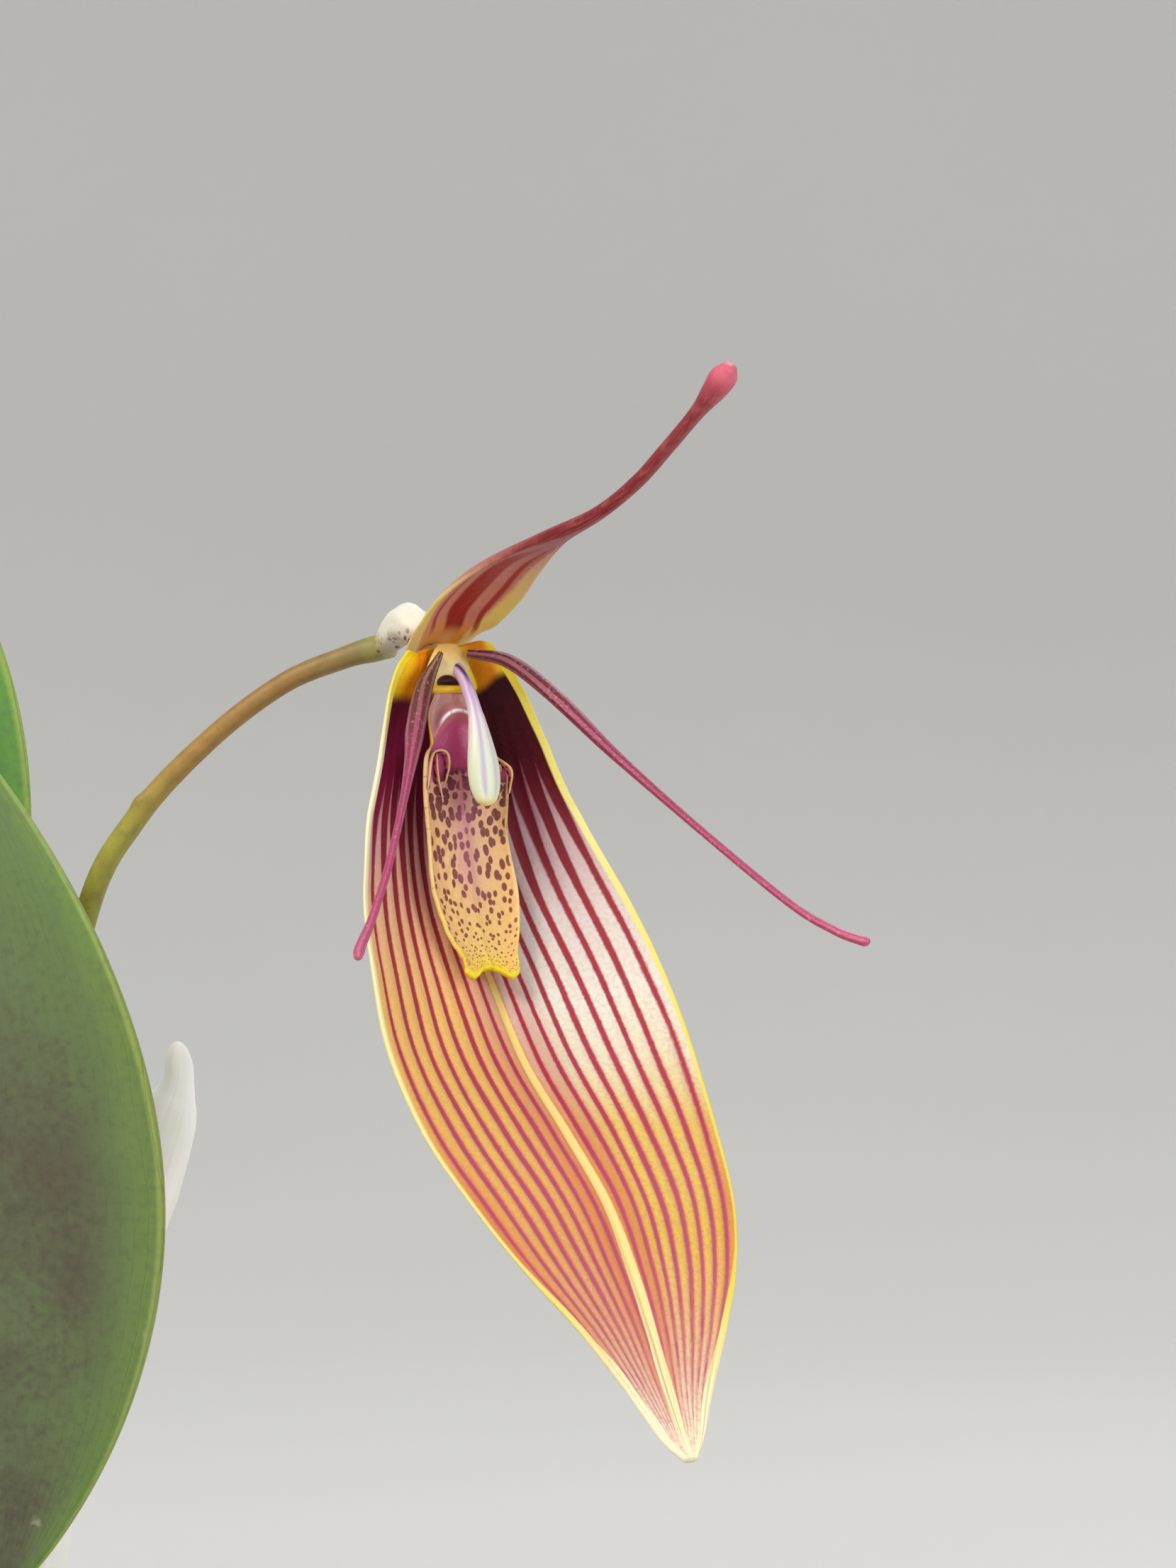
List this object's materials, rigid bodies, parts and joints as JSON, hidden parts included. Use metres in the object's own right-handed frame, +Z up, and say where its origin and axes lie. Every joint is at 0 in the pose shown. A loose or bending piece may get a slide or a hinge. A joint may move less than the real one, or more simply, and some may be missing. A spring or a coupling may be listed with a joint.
{
  "type": "potted restrepia antennifera",
  "caption": "Tufted orchid in a plain clay pot, with leathery leaves and a striped, long-tongued flower on a thin stalk.",
  "frame": {"origin": "middle of the pot's flat underside", "axes": "+Z up, -Y towards the viewer of the flower's side, +X to that viewer's right, where the flower hangs"},
  "size_m": [0.0938, 0.08, 0.1973],
  "materials": {
    "clay": "dry unglazed clay with a light mineral bloom",
    "bark": "rough dry bark chips with moss between them",
    "root": "matte, lightly wrinkled, pale coating over green",
    "sheath": "thin dry papery sheaths",
    "paper_sheath": "fresh white papery sheaths",
    "leaf": "leathery, satin, dark green shaded purple brown",
    "stalk": "smooth satin olive green",
    "ovary_cream": "waxy cream with brown speckles",
    "striped_sepal": "shining yellow and orange with dark red stripes",
    "dorsal_tissue": "translucent cream edges, dark red stripes, pink club",
    "thread": "smooth magenta thread with a pink club",
    "lip_tissue": "buff with maroon spots and a yellow rim",
    "column_tissue": "waxy white with lavender stripes"
  },
  "bodies": {
    "root": {"pot": "clay", "substrate": "bark", "rhizome": "root", "ramicaul_1": "sheath", "leaf_1": "leaf", "ramicaul_2": "sheath", "leaf_2": "leaf", "ramicaul_3": "sheath", "leaf_3": "leaf", "ramicaul_4": "sheath", "leaf_4": "leaf", "ramicaul_5": "sheath", "leaf_5": "leaf", "ramicaul_6": "sheath", "leaf_6": "leaf", "ramicaul_7": "sheath", "leaf_7": "leaf", "ramicaul_8": "sheath", "leaf_8": "leaf", "ramicaul_9": "sheath", "leaf_9": "leaf", "ramicaul_10": "sheath", "leaf_10": "leaf", "ramicaul_11": "sheath", "leaf_11": "leaf", "ramicaul_12": "sheath", "leaf_12": "leaf", "young_shoot": "paper_sheath", "pedicel": "stalk", "ovary": "ovary_cream", "synsepal": "striped_sepal", "dorsal_sepal": "dorsal_tissue", "petal_left": "thread", "petal_right": "thread", "lip": "lip_tissue", "column": "column_tissue"}
  },
  "joints": []
}
